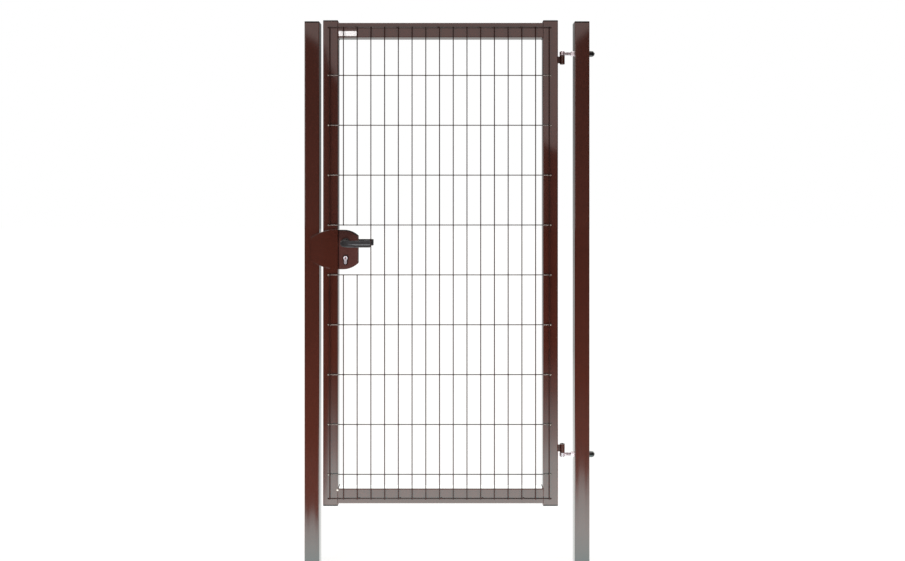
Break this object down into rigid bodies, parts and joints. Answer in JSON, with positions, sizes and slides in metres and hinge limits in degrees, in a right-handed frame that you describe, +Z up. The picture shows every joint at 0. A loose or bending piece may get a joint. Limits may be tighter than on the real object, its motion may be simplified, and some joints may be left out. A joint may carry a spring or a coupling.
{
  "type": "pedestrian gate",
  "caption": "Pedestrian gate: a square-tube leaf filled with welded wire mesh, with a lever lock and stop plate, hung on eye bolts between square posts.",
  "frame": {"origin": "centre of the hinge post's foot, at ground level", "axes": "+X from the lock post towards the hinge post, +Z up, and the leaf opens towards -Y, the side that carries the mesh"},
  "size_m": [1.17, 0.166, 2.2],
  "materials": {
    "brown_paint": "glossy brown powder coat on steel",
    "black_plastic": "black moulded plastic",
    "handle_plastic": "dark grey glass-filled plastic",
    "zinc": "bright zinc plate",
    "nickel": "satin nickel"
  },
  "bodies": {
    "posts": {"hinge_post": "brown_paint", "lock_post": "brown_paint", "hinge_post_cap": "black_plastic", "lock_post_cap": "black_plastic", "upper_eye_bolt": "zinc", "lower_eye_bolt": "zinc", "upper_inner_nut": "zinc", "lower_inner_nut": "zinc", "upper_outer_nut": "zinc", "lower_outer_nut": "zinc", "upper_nut_cover": "black_plastic", "lower_nut_cover": "black_plastic"},
    "leaf": {"hinge_stile": "brown_paint", "lock_stile": "brown_paint", "top_rail": "brown_paint", "bottom_rail": "brown_paint", "hinge_stile_top_cap": "black_plastic", "hinge_stile_bottom_cap": "black_plastic", "lock_stile_top_cap": "black_plastic", "lock_stile_bottom_cap": "black_plastic", "mesh_panel": "brown_paint", "upper_hinge_barrel": "brown_paint", "lower_hinge_barrel": "brown_paint", "upper_hinge_pin": "zinc", "lower_hinge_pin": "zinc", "lock_stop_plate": "brown_paint", "lock_case": "brown_paint", "lock_mechanism": "zinc", "latch_bolt": "zinc", "lock_cylinder": "nickel", "front_rosette": "handle_plastic", "rear_rosette": "handle_plastic"},
    "handle": {"front_handle": "handle_plastic", "rear_handle": "handle_plastic", "handle_spindle": "zinc"}
  },
  "joints": [
    {"name": "leaf_swing", "type": "hinge", "parent": "posts", "child": "leaf", "pos_m": [-0.076, 0, 0.45], "axis": [0, 0, 1], "range_deg": [0, 100]},
    {"name": "handle_turn", "type": "hinge", "parent": "leaf", "child": "handle", "pos_m": [-0.95, -0.0055, 1.307], "axis": [0, 1, 0], "range_deg": [0, 45], "stiffness_Nm_per_rad": 1.5, "springref_deg": -20.05}
  ]
}
